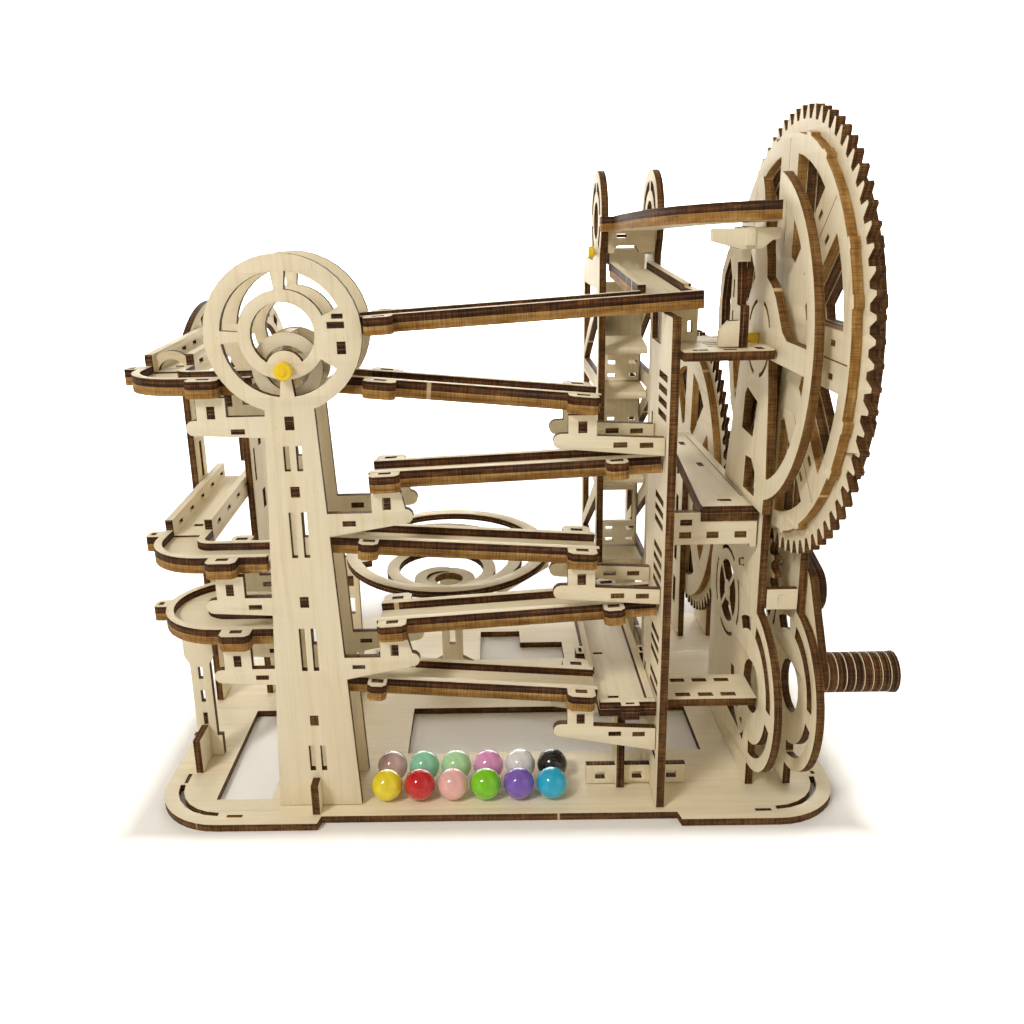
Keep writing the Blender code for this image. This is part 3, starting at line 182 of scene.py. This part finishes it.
def make_birch_edge():
    """Laser-cut edge: scorched plies, a golden lower ply that is partly painted bounce light,
    upright pulse marks and pale nib marks.
    """
    s = Shader("birch_edge")
    source = s.attribute("grain").outputs["Vector"]
    split = s.tree.nodes.new("ShaderNodeSeparateXYZ")
    s.link(source, split.inputs[0])
    layer = s.math("MULTIPLY", split.outputs[2], 1 / PLY)
    within = s.math("FRACT", layer)
    pulses = s.noise(s.scaled(source, (3.0, 3.0, 0.14)), 1.0, 2.0, 0.6)
    patches = s.noise(s.scaled(source, (0.085, 0.085, 0.4)), 1.0, 3.0, 0.65)
    plies = s.noise(s.scaled(source, (0.02, 0.02, 1.6)), 1.0, 3.0, 0.7)
    wear = s.math("ADD", s.math("MULTIPLY", patches, 0.6), s.math("MULTIPLY", plies, 0.4))
    brown = s.ramp(wear, (0.33, (0.010, 0.0035, 0.002)), (0.47, (0.045, 0.016, 0.006)),
                   (0.58, (0.12, 0.045, 0.013)), (0.74, (0.30, 0.135, 0.036)))
    # Golden lower ply: partly a less scorched cut, partly painted bounce light.
    gold_and_painted_bounce = s.ramp(wear, (0.30, (0.16, 0.065, 0.014)), (0.48, (0.42, 0.22, 0.055)),
                  (0.74, (0.70, 0.48, 0.18)))
    upper = s.math("GREATER_THAN", layer, 1.02)
    scorch = s.attribute("scorch").outputs["Fac"]
    dark = s.math("MAXIMUM", upper, scorch)
    colour = s.mix(dark, gold_and_painted_bounce, brown)
    core = s.math("COMPARE", within, 0.5)
    core.node.inputs[2].default_value = 0.13
    colour = s.mix(s.math("MULTIPLY", core, s.grey(plies, 0.1, 0.5, 0.4, 0.6)), colour,
                   (0.26, 0.115, 0.034))
    rim = s.grey(s.math("ABSOLUTE", s.math("SUBTRACT", within, 0.5)), 0.0, 0.6, 0.44, 0.5)
    colour = s.mix(rim, colour, (0.55, 0.36, 0.14))
    burnt = s.math("MULTIPLY", s.grey(pulses, 0.75, 0.0, 0.36, 0.58), s.grey(dark, 0.5, 1.0))
    colour = s.mix(burnt, colour, (0.012, 0.0045, 0.002))
    nibs = s.noise(s.scaled(source, (0.21, 0.21, 0.0)), 1.0, 0.0)
    colour = s.mix(s.grey(nibs, 0.0, 0.8, 0.795, 0.805), colour, (0.74, 0.56, 0.33))
    s.set("Base Color", colour)
    s.set("Roughness", s.grey(pulses, 0.75, 0.5))
    s.set("Specular IOR Level", 0.2)
    s.bump(s.math("ADD", pulses, s.math("MULTIPLY", plies, 0.7)), 0.5, 0.00012)
    return s.material


def make_plastic(name, colour):
    """Moulded plastic with a faint mottle."""
    s = Shader(name)
    place = s.object_place()
    mottle = s.noise(place, 900.0, 3.0)
    fine = s.noise(place, 5200.0, 2.0)
    deep = tuple(c * 0.82 for c in colour)
    s.set("Base Color", s.mix(s.grey(mottle, 0.0, 0.5, 0.35, 0.75), colour, deep))
    s.set("Roughness", s.grey(fine, 0.30, 0.45))
    s.set("Subsurface Weight", 0.12)
    s.set("Subsurface Radius", (0.001, 0.001, 0.0006))
    s.bump(fine, 0.08, 0.00004)
    return s.material


def make_marble(name, colour, clear):
    """A polished ball with a soft pearly depth under a clear coat."""
    s = Shader(name)
    place = s.object_place()
    cloud = s.noise(place, 120.0, 3.0, 0.5, 1.2)
    speck = s.noise(place, 2600.0, 2.0)
    lighter = tuple(min(1.0, c * 1.15 + 0.03) for c in colour)
    deeper = tuple(c * 0.84 for c in colour)
    s.set("Base Color", s.ramp(cloud, (0.3, deeper), (0.55, colour), (0.8, lighter)))
    s.set("Roughness", s.grey(speck, 0.10, 0.17))
    s.set("Coat Weight", 0.8)
    s.set("Coat Roughness", 0.05)
    s.set("Transmission Weight", clear)
    s.set("IOR", 1.46)
    s.set("Subsurface Weight", 0.25 if clear == 0.0 else 0.0)
    s.set("Subsurface Radius", (0.004, 0.003, 0.003))
    s.bump(speck, 0.02, 0.00002)
    return s.material


FACE = make_birch_face()
EDGE = make_birch_edge()
YELLOW = make_plastic("cap_yellow", (0.93, 0.66, 0.012))


# ------------------------------------------------- plywood on the CAD nodes
# Pieces that are not one flat plate: which world axes are sheet faces.
SHEET_AXES = {
    "lift_steps": (1, 2),
    "chute_post": (0, 1),
    "ramp_top": (2, 0),
    "ramp_middle": (2, 0),
    "base_cross": (0, 1),
    "flap": (1, 2),
    "crank_grip": (0,),
    "paddle_wheel": (0, 1, 2),
}
# Boxes, in millimetres, where the faces towards the front are cut edges.
CUT_FRONTS = {
    "chute_post": ((85.3, -95.0, 170.0), (88.5, -55.0, 208.2)),
    "base_cross": ((49.0, -82.0, 3.0), (53.0, -79.0, 45.0)),
}
# How dark the cut edges are: 1 is all scorched, 0 is golden in the lower layer, partly a less
# scorched cut and partly painted bounce light.
LOWER_PLY_DARKNESS = 0.85
# Pieces with a golden lower ply, partly a less scorched cut and partly painted bounce light.
LIGHTER_LOWER_PLY = {
    "track_": 0.12,
    "tray_": 0.12,
    "top_channel": 0.12,
    "arch_chute": 0.05,
    "wheel_face_inner": 0.15,
    "wheel_crescent": 0.62,
    "funnel": 0.5,
}


def seed_of(name):
    total = 0
    for letter in name:
        total = (total * 31 + ord(letter)) % 9973
    return total


def sheet_normal(mesh):
    """The direction most of the surface faces, as an axis number and a vector."""
    totals = [Vector(), Vector(), Vector()]
    areas = [0.0, 0.0, 0.0]
    for face in mesh.polygons:
        normal = face.normal
        axis = max(range(3), key=lambda k: abs(normal[k]))
        sign = 1 if normal[axis] > 0 else -1
        totals[axis] += normal * (face.area * sign)
        areas[axis] += face.area
    axis = areas.index(max(areas))
    return axis, totals[axis].normalized()


def add_grain(mesh, name, axis, normal, scorch):
    """Write the grain attribute and the lower layer's darkness that the wood materials read; low
    darkness paints the lower ply golden, partly as painted bounce light.
    """
    points = np.array([v.co for v in mesh.vertices], float)
    sides = [k for k in range(3) if k != axis]
    spans = points.max(0) - points.min(0)
    long_side = sides[0] if spans[sides[0]] >= spans[sides[1]] else sides[1]
    along = Vector([1.0 if k == long_side else 0.0 for k in range(3)])
    along = (along - normal * along.dot(normal)).normalized()
    across = normal.cross(along)
    up = points @ np.array(normal)
    values = np.stack([points @ np.array(along), points @ np.array(across), up - up.min()], 1)
    values /= MM
    shift = seed_of(name)
    values[:, 0] += shift * 1.7
    values[:, 1] += shift % 97 * 5.3
    layer = mesh.attributes.new("grain", "FLOAT_VECTOR", "POINT")
    layer.data.foreach_set("vector", values.astype(np.float32).ravel())
    darkness_layer = mesh.attributes.new("scorch", "FLOAT", "POINT")
    darkness_layer.data.foreach_set("value", np.full(len(points), scorch, np.float32))


def finish_ply(obj, scorch):
    """Give a plywood piece its sheet faces, cut edges and softened corners."""
    mesh = obj.data
    axis, normal = sheet_normal(mesh)
    if obj.name == "crank_grip":      # a stack of discs along X
        axis, normal = 0, Vector((1.0, 0.0, 0.0))
    add_grain(mesh, obj.name, axis, normal, scorch)
    flat_axes = SHEET_AXES.get(obj.name, (axis,))
    mesh.materials.clear()
    mesh.materials.append(FACE)
    mesh.materials.append(EDGE)
    for face in mesh.polygons:
        main = max(range(3), key=lambda k: abs(face.normal[k]))
        sheet = main in flat_axes
        if sheet and main == 1 and obj.name in CUT_FRONTS:
            low, high = CUT_FRONTS[obj.name]
            corners = [obj.matrix_world @ mesh.vertices[i].co / MM for i in face.vertices]
            sheet = not all(low[k] <= c[k] <= high[k] for c in corners for k in range(3))
        face.material_index = 0 if sheet else 1
        face.use_smooth = True
    soften(obj, 0.10)


def soften(obj, width, segments=2):
    weld = obj.modifiers.new("weld", "WELD")
    weld.merge_threshold = 0.000002
    bevel = obj.modifiers.new("corners", "BEVEL")
    bevel.width = width * MM
    bevel.segments = segments
    bevel.limit_method = "ANGLE"
    bevel.angle_limit = math.radians(35)
    bevel.harden_normals = True
    bevel.use_clamp_overlap = True


def paint_nodes():
    for name, node in NODES.items():
        if name == "paddle_axle":
            node.data.materials.clear()
            node.data.materials.append(YELLOW)
            soften(node, 0.1)
            continue
        scorch = LOWER_PLY_DARKNESS
        for start, value in LIGHTER_LOWER_PLY.items():
            if name.startswith(start):
                scorch = value
        finish_ply(node, scorch)


# ------------------------------------------------------------- extra pieces
def link(obj):
    bpy.context.scene.collection.objects.link(obj)
    return obj


def ball(name, x, y, z, radius, material):
    """A round ball from a subdivided cube, so that it has no poles."""
    mesh = bpy.data.meshes.new(name)
    work = bmesh.new()
    bmesh.ops.create_cube(work, size=2.0)
    bmesh.ops.subdivide_edges(work, edges=work.edges, cuts=11, use_grid_fill=True)
    for vert in work.verts:
        vert.co = vert.co.normalized() * radius * MM
    for face in work.faces:
        face.smooth = True
    work.to_mesh(mesh)
    work.free()
    mesh.materials.append(material)
    obj = link(bpy.data.objects.new(name, mesh))
    obj.location = Vector((x, y, z)) * MM
    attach(obj, "stand")


def slab(name, low, high, scorch=LOWER_PLY_DARKNESS):
    """A plywood block between two corners, in millimetres."""
    mesh = bpy.data.meshes.new(name)
    work = bmesh.new()
    bmesh.ops.create_cube(work, size=1.0)
    size = Vector(high) - Vector(low)
    for vert in work.verts:
        vert.co = Vector(vert.co[k] * size[k] for k in range(3)) * MM
    work.to_mesh(mesh)
    work.free()
    obj = link(bpy.data.objects.new(name, mesh))
    obj.location = (Vector(low) + Vector(high)) / 2 * MM
    finish_ply(obj, scorch)
    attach(obj, "stand")


def cap(name, start, end, radius, body):
    """A yellow end cap with a rounded rim on a round axle."""
    a = Vector(start) * MM
    b = Vector(end) * MM
    mesh = bpy.data.meshes.new(name)
    work = bmesh.new()
    bmesh.ops.create_cone(work, cap_ends=True, segments=32, radius1=radius * MM,
                          radius2=radius * MM, depth=(b - a).length)
    for face in work.faces:
        face.smooth = True
    work.to_mesh(mesh)
    work.free()
    mesh.materials.append(YELLOW)
    obj = link(bpy.data.objects.new(name, mesh))
    obj.rotation_euler = (b - a).to_track_quat("Z", "Y").to_euler()
    obj.location = (a + b) / 2
    soften(obj, 0.5, 3)
    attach(obj, body)


def sheet(name, plane, level, outline, holes=(), body="stand", scorch=LOWER_PLY_DARKNESS, thick=PLY):
    """A flat plate from an outline with holes, in millimetres."""
    curve = bpy.data.curves.new(name, "CURVE")
    curve.dimensions = "2D"
    curve.fill_mode = "BOTH"
    curve.extrude = thick / 2 * MM
    for ring in (outline, *holes):
        spline = curve.splines.new("POLY")
        spline.points.add(len(ring) - 1)
        for point, (x, y) in zip(spline.points, ring):
            point.co = (x * MM, y * MM, 0.0, 1.0)
        spline.use_cyclic_u = True
    shape = bpy.data.objects.new(name + "_outline", curve)
    mesh = bpy.data.meshes.new_from_object(shape)
    bpy.data.objects.remove(shape, do_unlink=True)
    middle = (level + thick / 2) * MM
    if plane == "yz":
        turn = Matrix(((0, 0, 1, middle), (1, 0, 0, 0), (0, 1, 0, 0), (0, 0, 0, 1)))
    elif plane == "xz":
        turn = Matrix(((1, 0, 0, 0), (0, 0, -1, middle), (0, 1, 0, 0), (0, 0, 0, 1)))
    else:
        turn = Matrix.Translation((0, 0, middle))
    mesh.transform(turn)
    obj = link(bpy.data.objects.new(name, mesh))
    finish_ply(obj, scorch)
    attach(obj, body)


def arc(cx, cy, radius, start, end, steps):
    """Points on a circle from one angle to another, in degrees."""
    points = []
    for i in range(steps + 1):
        angle = math.radians(start + (end - start) * i / steps)
        points.append((cx + radius * math.cos(angle), cy + radius * math.sin(angle)))
    return points


def hole_corners(loop):
    """Corner points of a closed loop, without the points along its straight sides."""
    corners = []
    for i, point in enumerate(loop):
        before = (point - loop[i - 1]).normalized()
        after = (loop[(i + 1) % len(loop)] - point).normalized()
        if before.dot(after) < 0.999:
            corners.append(point)
    return corners


def outer_loops(mesh, normal):
    """Closed edge loops around the flat region that lies furthest along normal."""
    top = max(v.co.dot(normal) for v in mesh.vertices)
    place = {}
    used = {}
    for face in mesh.polygons:
        corners = [mesh.vertices[i].co for i in face.vertices]
        if any(top - c.dot(normal) > 0.00008 for c in corners):
            continue
        keys = [tuple(round(value * 200000) for value in c) for c in corners]
        place.update(zip(keys, corners))
        for a, b in zip(keys, keys[1:] + keys[:1]):
            edge = (min(a, b), max(a, b))
            used[edge] = used.get(edge, 0) + 1
    after = {}
    for (a, b), count in used.items():
        if count == 1:
            after.setdefault(a, []).append(b)
            after.setdefault(b, []).append(a)
    loops = []
    seen = set()
    for start in sorted(after):
        if start in seen:
            continue
        loop = [start]
        seen.add(start)
        options = after[start]
        while options:
            loop.append(options[0])
            seen.add(options[0])
            options = [key for key in after[loop[-1]] if key not in seen]
        loops.append([place[key].copy() for key in loop])
    return loops


TENON_NARROW = (1.2, 4.6)    # shortest and longest short side of a filled window
TENON_LONG = 6.6             # longest long side
SLOT_WIDTH = 2.2             # of narrower windows, about one in four stays open
TENON_SINK = 0.35            # how far a tenon's end lies below the sheet face
TENON_DEPTH = 2.3
TENON_SLACK = 0.3


def build_tenons():
    """Fill the small square windows with the ends of the plates that join there."""
    for name, node in NODES.items():
        if name == "paddle_axle":
            continue
        mesh = node.data
        axis, normal = sheet_normal(mesh)
        facing = node.matrix_world.to_3x3() @ normal
        if axis != 2 and facing.dot(Vector((-0.3, -1.0, 0.2))) < 0:
            normal = -normal
        work = bmesh.new()
        for loop in outer_loops(mesh, normal):
            corners = hole_corners(loop)
            if len(corners) != 4:
                continue
            side_a = corners[1] - corners[0]
            side_b = corners[2] - corners[1]
            long_side, short_side = sorted((side_a, side_b), key=lambda v: -v.length)
            long_mm, short_mm = long_side.length / MM, short_side.length / MM
            if abs(side_a.normalized().dot(side_b.normalized())) > 0.12:
                continue
            if not (TENON_NARROW[0] < short_mm < TENON_NARROW[1] and long_mm < TENON_LONG):
                continue
            centre = sum(corners, Vector()) / 4
            place = centre / MM
            pick = int(abs(place.x * 7.1 + place.y * 3.7 + place.z * 5.3)) % 4
            if short_mm < SLOT_WIDTH and pick == 0:
                continue
            centre -= normal * ((TENON_SINK + TENON_DEPTH / 2) * MM)
            turn = Matrix((long_side.normalized(), short_side.normalized(), normal)).transposed()
            size = (long_mm - TENON_SLACK, short_mm - TENON_SLACK, TENON_DEPTH)
            for vert in bmesh.ops.create_cube(work, size=1.0)["verts"]:
                vert.co = centre + turn @ Vector(vert.co[k] * size[k] * MM for k in range(3))
        if work.verts:
            plug = bpy.data.meshes.new(name + "_tenons")
            work.to_mesh(plug)
            obj = link(bpy.data.objects.new(name + "_tenons", plug))
            obj.matrix_world = node.matrix_world.copy()
            across = 2 if axis != 2 else 1
            across_vector = Vector([1.0 if k == across else 0.0 for k in range(3)])
            add_grain(plug, obj.name, across, across_vector, 0.75)
            plug.materials.append(EDGE)
            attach(obj, node["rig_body"])
        work.free()


def build_caps():
    """Yellow ends of the paddle's, the wheel's and the flap's axles."""
    x, _, z = HINGES["paddle_spin"]
    cap("paddle_cap", (x, -93.2, z), (x, -90.0, z), 3.1, "paddle")
    cap("paddle_cap_core", (x, -93.7, z), (x, -93.1, z), 1.3, "paddle")
    _, y, z = HINGES["wheel_spin"]
    cap("wheel_cap", (93.0, y, z), (96.7, y, z), 1.9, "wheel")
    _, y, z = HINGES["flap_tilt"]
    cap("flap_cap", (47.6, y, z), (50.2, y, z), 2.6, "tilt_flap")


def build_ribs():
    """Small ribs, ties and spacers, the ramp's hoop and the arm under the funnel."""
    slab("tower_tie_upper", (-67.1, -85.4, 128.2), (-64.3, -66.5, 131.5))
    slab("tower_tie_lower", (-67.1, -85.4, 38.2), (-64.3, -66.5, 41.8))
    slab("tower_foot_rib", (-68.0, -94.6, 3.1), (-65.0, -88.8, 15.5))
    slab("side_leg_rib", (-121.5, -65.5, 3.1), (-118.5, -52.7, 18.0))
    slab("plate_spacer", (103.4, -80.2, 78.4), (114.7, -77.4, 86.4))
    slab("spacer_slot", (107.6, -80.4, 80.9), (110.4, -80.1, 84.2), 1.0)
    hoop = arc(-117.0, 166.5, 8.6, 0, 180, 20) + arc(-117.0, 166.5, 5.4, 180, 0, 16)
    sheet("ramp_hoop", "xz", -50.5, hoop)
    arm = [(4.0, 52.0), (28.0, 66.5), (28.0, 71.5), (4.0, 60.5)]
    windows = [[(9.0 + x, 57.4 + 0.6 * x), (12.6 + x, 59.5 + 0.6 * x), (12.6 + x, 61.6 + 0.6 * x),
                (9.0 + x, 59.5 + 0.6 * x)] for x in (0.0, 8.0)]
    sheet("funnel_arm", "xz", -2.0, arm, windows)


def build_wheel_cheek():
    """The golden-edged cheek on the near side of the rear wheel; its gold is partly painted
    bounce light.
    """
    _, cy, cz = HINGES["rear_gear_spin"]
    windows = []
    for i in range(8):
        start = 3.7 + 45 * i
        windows.append(arc(cy, cz, 54.0, start + 8, start + 37, 8)
                       + arc(cy, cz, 25.0, start + 28, start + 17, 3))
    rim = arc(cy, cz, 64.5, 0, 360, 96)[:-1]
    sheet("rear_wheel_cheek", "yz", 103.5, rim, windows, "rear_gear", 0.1)


def build_paddle_rings():
    """Thin round cheeks on the paddle wheel."""
    x, _, z = HINGES["paddle_spin"]
    for name, y in (("paddle_ring_front", -84.9), ("paddle_ring_rear", -68.9)):
        rim = arc(x, z, 12.2, 0, 360, 48)[:-1]
        hole = arc(x, z, 7.6, 0, 360, 36)[:-1]
        sheet(name, "xz", y, rim, [hole], "paddle", 0.6, 1.6)


MARBLES = {
    "marble_yellow": ((0.90, 0.74, 0.03), 0),
    "marble_red": ((0.60, 0.010, 0.018), 0),
    "marble_pink": ((0.90, 0.52, 0.50), 0),
    "marble_lime": ((0.22, 0.66, 0.012), 0),
    "marble_purple": ((0.215, 0.115, 0.56), 0),
    "marble_cyan": ((0.012, 0.46, 0.74), 0),
    "marble_lilac": ((0.82, 0.60, 0.62), 1),
    "marble_mint": ((0.30, 0.72, 0.50), 1),
    "marble_pale_green": ((0.50, 0.85, 0.48), 1),
    "marble_orchid": ((0.83, 0.36, 0.68), 1),
    "marble_white": ((0.86, 0.86, 0.87), 1),
    "marble_black": ((0.010, 0.010, 0.012), 1),
}
MARBLE_R = 6.0


def build_marbles():
    """Twelve marbles in two rows on the base."""
    base_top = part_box("base_plate")[1].z / MM
    first = -40.3
    pitch = 12.84
    for number, (name, (colour, row)) in enumerate(MARBLES.items()):
        column = number % 6
        clear = 0.35 if name == "marble_lilac" else 0.0
        x = first + pitch * column + (1.0 if row else 0.0)
        y = -84.5 + 12.9 * row
        finish = make_marble(name + "_finish", colour, clear)
        ball(name, x, y, base_top + MARBLE_R, MARBLE_R, finish)


# ------------------------------------------------------- stage and the camera
def build_stage():
    """A pale floor that curves up into a backdrop and glows a little away from the object."""
    s = Shader("studio_floor")
    place = s.object_place()
    s.set("Base Color", s.ramp(s.noise(place, 3.0, 2.0), (0.3, (0.93, 0.93, 0.93)),
                               (0.7, (0.96, 0.96, 0.96))))
    s.set("Roughness", 0.9)
    split = s.tree.nodes.new("ShaderNodeSeparateXYZ")
    s.link(place, split.inputs[0])
    beside = s.grey(s.math("ABSOLUTE", split.outputs[0]), 0.0, 1.0, 0.1352, 0.152)
    before = s.grey(s.math("MULTIPLY", split.outputs[1], -1.0), 0.0, 1.0, 0.1002, 0.113)
    behind = s.grey(split.outputs[1], 0.0, 1.0, 0.095, 0.16)
    away = s.math("MAXIMUM", s.math("MAXIMUM", beside, before), behind)
    seen = s.tree.nodes.new("ShaderNodeLightPath").outputs["Is Camera Ray"]
    s.set("Emission Color", (1.0, 1.0, 1.0, 1.0))
    s.set("Emission Strength", s.math("MULTIPLY", s.math("MULTIPLY", away, seen), 0.8))
    mesh = bpy.data.meshes.new("studio_floor")
    work = bmesh.new()
    profile = [(-4.0, 0.0), (2.0, 0.0)]
    for i in range(1, 13):
        angle = math.radians(90 * i / 12)
        profile.append((2.0 + 1.5 * math.sin(angle), 1.5 - 1.5 * math.cos(angle)))
    profile.append((3.5, 6.0))
    rows = []
    for y, z in profile:
        rows.append([work.verts.new((x, y, z - 0.0002)) for x in (-7.0, 7.0)])
    for a, b in zip(rows, rows[1:]):
        face = work.faces.new((a[0], a[1], b[1], b[0]))
        face.smooth = True
    work.to_mesh(mesh)
    work.free()
    mesh.materials.append(s.material)
    floor = link(bpy.data.objects.new("studio_floor", mesh))


def add_area(name, place, target, size, power, colour=(1, 1, 1)):
    lamp = bpy.data.lights.new(name, "AREA")
    lamp.size = size
    lamp.energy = power
    lamp.color = colour
    obj = link(bpy.data.objects.new(name, lamp))
    obj.location = place
    aim = Vector(target) - Vector(place)
    obj.rotation_euler = aim.to_track_quat("-Z", "Y").to_euler()
    return obj


def build_lights():
    world = bpy.data.worlds.new("studio_air")
    bpy.context.scene.world = world
    world.use_nodes = True
    nodes = world.node_tree.nodes
    links = world.node_tree.links
    warm = nodes["Background"]
    warm.inputs[0].default_value = (1.0, 0.87, 0.68, 1.0)
    warm.inputs[1].default_value = 0.40
    white = nodes.new("ShaderNodeBackground")
    white.inputs[0].default_value = (1.0, 1.0, 1.0, 1.0)
    choose = nodes.new("ShaderNodeMixShader")
    links.new(nodes.new("ShaderNodeLightPath").outputs["Is Camera Ray"], choose.inputs[0])
    links.new(warm.outputs[0], choose.inputs[1])
    links.new(white.outputs[0], choose.inputs[2])
    links.new(choose.outputs[0], nodes["World Output"].inputs[0])
    middle = (0.0, -0.03, 0.10)
    add_area("key_light", (-0.75, -0.95, 1.15), middle, 0.30, 11.2, (1.0, 0.965, 0.92))
    add_area("fill_light", (1.1, -0.9, 0.7), middle, 1.2, 1.8, (1.0, 0.93, 0.82))
    wash = add_area("backdrop_light", (0.0, 1.2, 2.2), (0.0, 2.9, 0.9), 3.0, 170.0)
    wash.data.spread = math.radians(120)
    bpy.context.scene.view_settings.view_transform = "Standard"
    bpy.context.scene.view_settings.look = "None"


PITCH = 16.47                       # degrees down
YAW = 1.33
ROLL = 1.56
SENSOR = 36.0
LENS = 32.614453                    # millimetres, as the sensor
CENTRE_SHIFT = (0.0382, -0.0198)    # in sensor widths
EYE = (3.6, -398.5, 220.35)


def build_camera():
    """A close camera in front of the object, above the wheel's hub and tipped down."""
    cp, sp = math.cos(math.radians(PITCH)), math.sin(math.radians(PITCH))
    cy, sy = math.cos(math.radians(YAW)), math.sin(math.radians(YAW))
    cr, sr = math.cos(math.radians(ROLL)), math.sin(math.radians(ROLL))
    level = Matrix(((1, 0, 0), (0, 0, -1), (0, 1, 0)))
    turn = Matrix(((cy, sy, 0), (-sy, cy, 0), (0, 0, 1)))
    tip = Matrix(((1, 0, 0), (0, cp, -sp), (0, sp, cp)))
    lean = Matrix(((cr, sr, 0), (-sr, cr, 0), (0, 0, 1)))
    rows = lean @ tip @ level @ turn
    basis = Matrix((rows[0], -rows[1], -rows[2])).transposed()
    lens = bpy.data.cameras.new("camera")
    lens.sensor_width = SENSOR
    lens.lens = LENS
    lens.shift_x = CENTRE_SHIFT[0]
    lens.shift_y = CENTRE_SHIFT[1]
    lens.clip_start = 0.01
    camera = link(bpy.data.objects.new("camera", lens))
    camera.matrix_world = Matrix.Translation(Vector(EYE) * MM) @ basis.to_4x4()
    bpy.context.scene.camera = camera


paint_nodes()
build_caps()
build_ribs()
build_wheel_cheek()
build_paddle_rings()
build_tenons()
build_marbles()
build_stage()
build_lights()
build_camera()
